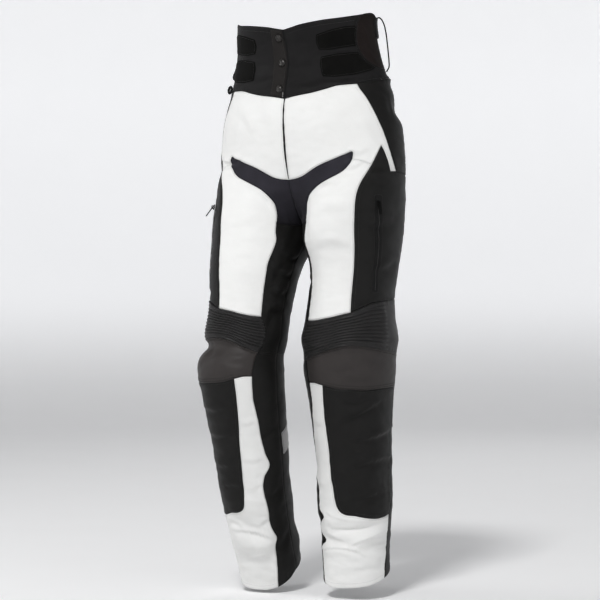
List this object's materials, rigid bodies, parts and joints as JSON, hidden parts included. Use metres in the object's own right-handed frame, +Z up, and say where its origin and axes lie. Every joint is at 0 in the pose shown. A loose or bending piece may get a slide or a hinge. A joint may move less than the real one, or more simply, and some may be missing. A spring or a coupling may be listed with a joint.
{
  "type": "motorcycle trousers",
  "caption": "High-waist armoured riding trousers in black and white cloth, filled out as worn in a walking pose, with a wide belt, ribbed knee panels and open waist and hems.",
  "frame": {"origin": "centre of the waist, 1.100 m above the left hem's lowest point, where the wearer's waist holds the trousers", "axes": "+Z up, the front of the garment faces -Y, +X is the wearer's left"},
  "size_m": [0.4187, 0.3324, 1.2101],
  "materials": {
    "white_cloth": "plain weave, matte with a faint sheen",
    "black_cloth": "plain weave, matte",
    "belt_cloth": "smooth matte",
    "kidney_cloth": "smooth matte",
    "inset_cloth": "coarse weave, matte",
    "tab_cloth": "brushed hook tape",
    "zip_tape": "woven tape",
    "reflective_film": "satin reflective film on cloth",
    "cord": "round braided cord",
    "dark_metal": "dark satin finish"
  },
  "bodies": {
    "root": {"belt_left": "belt_cloth", "belt_right": "belt_cloth", "kidney_panel_left": "kidney_cloth", "kidney_panel_right": "kidney_cloth", "hip_front_left": "white_cloth", "hip_front_right": "white_cloth", "hip_side_left": "black_cloth", "hip_side_right": "black_cloth", "crotch_inset_left": "inset_cloth", "crotch_inset_right": "inset_cloth", "thigh_front_left": "white_cloth", "thigh_front_right": "white_cloth", "thigh_side_left": "black_cloth", "thigh_side_right": "black_cloth", "knee_ribs_left": "black_cloth", "knee_ribs_right": "black_cloth", "knee_cap_left": "black_cloth", "knee_cap_right": "black_cloth", "shin_left": "black_cloth", "shin_right": "black_cloth", "calf_strip_hem_left": "white_cloth", "calf_strip_hem_right": "white_cloth", "inner_thigh_left": "black_cloth", "inner_thigh_right": "black_cloth", "inner_calf_left": "black_cloth", "inner_calf_right": "black_cloth", "back_upper_left": "black_cloth", "back_upper_right": "black_cloth", "back_calf_left": "black_cloth", "back_calf_right": "black_cloth", "upper_tab_left": "tab_cloth", "upper_tab_right": "tab_cloth", "lower_tab_left": "tab_cloth", "lower_tab_right": "tab_cloth", "thigh_zip_left": "zip_tape", "thigh_zip_right": "zip_tape", "calf_patch_left": "reflective_film", "calf_patch_right": "reflective_film", "zip_slider_left": "dark_metal", "zip_slider_right": "dark_metal", "placket": "belt_cloth", "back_tab": "belt_cloth", "snap_1": "dark_metal", "snap_2": "dark_metal", "snap_3": "dark_metal", "hip_loop_right": "tab_cloth", "waist_loop_cord": "cord"},
    "pull_left": {"zip_pull_left": "dark_metal"},
    "pull_right": {"zip_pull_right": "dark_metal"}
  },
  "joints": [
    {"name": "pull_left_swing", "type": "hinge", "parent": "root", "child": "pull_left", "pos_m": [0.19563, -0.0557, -0.29445], "axis": [0.44, 0.898, 0], "range_deg": [-143, 9]},
    {"name": "pull_right_swing", "type": "hinge", "parent": "root", "child": "pull_right", "pos_m": [-0.19116, -0.08383, -0.29368], "axis": [0.533, -0.8461, 0], "range_deg": [-127, 25]}
  ]
}
